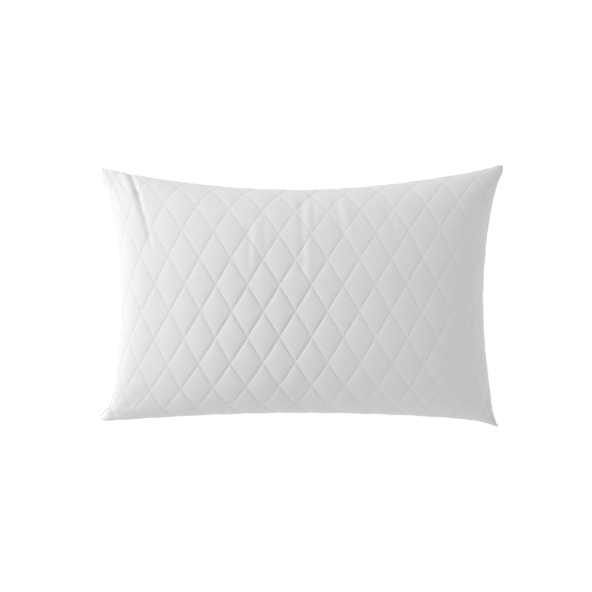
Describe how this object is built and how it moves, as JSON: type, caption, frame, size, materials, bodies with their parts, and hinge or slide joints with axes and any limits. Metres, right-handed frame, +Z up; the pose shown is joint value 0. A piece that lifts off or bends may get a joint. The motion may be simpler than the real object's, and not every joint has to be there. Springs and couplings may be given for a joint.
{
  "type": "bed pillow",
  "caption": "Plump rectangular bed pillow with drawn-in sides, a diamond-quilted zipped cover, an inner case and a loose fibre fill, lying flat.",
  "frame": {"origin": "on the floor, under the middle of the bounding box", "axes": "+Z up out of the front panel, +X along the long side away from the zip, +Y across the width"},
  "size_m": [0.7266, 0.4552, 0.1755],
  "materials": {
    "face_fabric": "brushed woven microfibre, white",
    "wadding": "lofty polyester batting",
    "lining": "thin plain lining",
    "inner_case": "non-woven polypropylene",
    "fibre": "loose hollow fibre",
    "zip_tape": "woven herringbone tape",
    "zip_nylon": "translucent white nylon coil",
    "zip_metal": "nickel plated, slightly dull"
  },
  "bodies": {
    "pillow": {"front_face_fabric": "face_fabric", "front_wadding": "wadding", "front_lining": "lining", "back_face_fabric": "face_fabric", "back_wadding": "wadding", "back_lining": "lining", "inner_case_top": "inner_case", "inner_case_bottom": "inner_case", "fibre_fill": "fibre", "zip_tape_front": "zip_tape", "zip_tape_back": "zip_tape", "zip_chain_front": "zip_nylon", "zip_chain_back": "zip_nylon", "zip_top_stop_front": "zip_metal", "zip_top_stop_back": "zip_metal", "zip_bottom_stop": "zip_metal"},
    "slider": {"zip_slider": "zip_metal"},
    "pull": {"zip_pull": "zip_metal"}
  },
  "joints": [
    {"name": "slider_run", "type": "hinge", "parent": "pillow", "child": "slider", "pos_m": [-0.68918, -0.01027, -0.33096], "axis": [-0.7431, 0, 0.6691], "range_deg": [0, 40.2]},
    {"name": "pull_flip", "type": "hinge", "parent": "slider", "child": "pull", "pos_m": [-0.34286, -0.20152, 0.05461], "axis": [0.0308, 0.2573, -0.9658], "range_deg": [0, 120]}
  ]
}
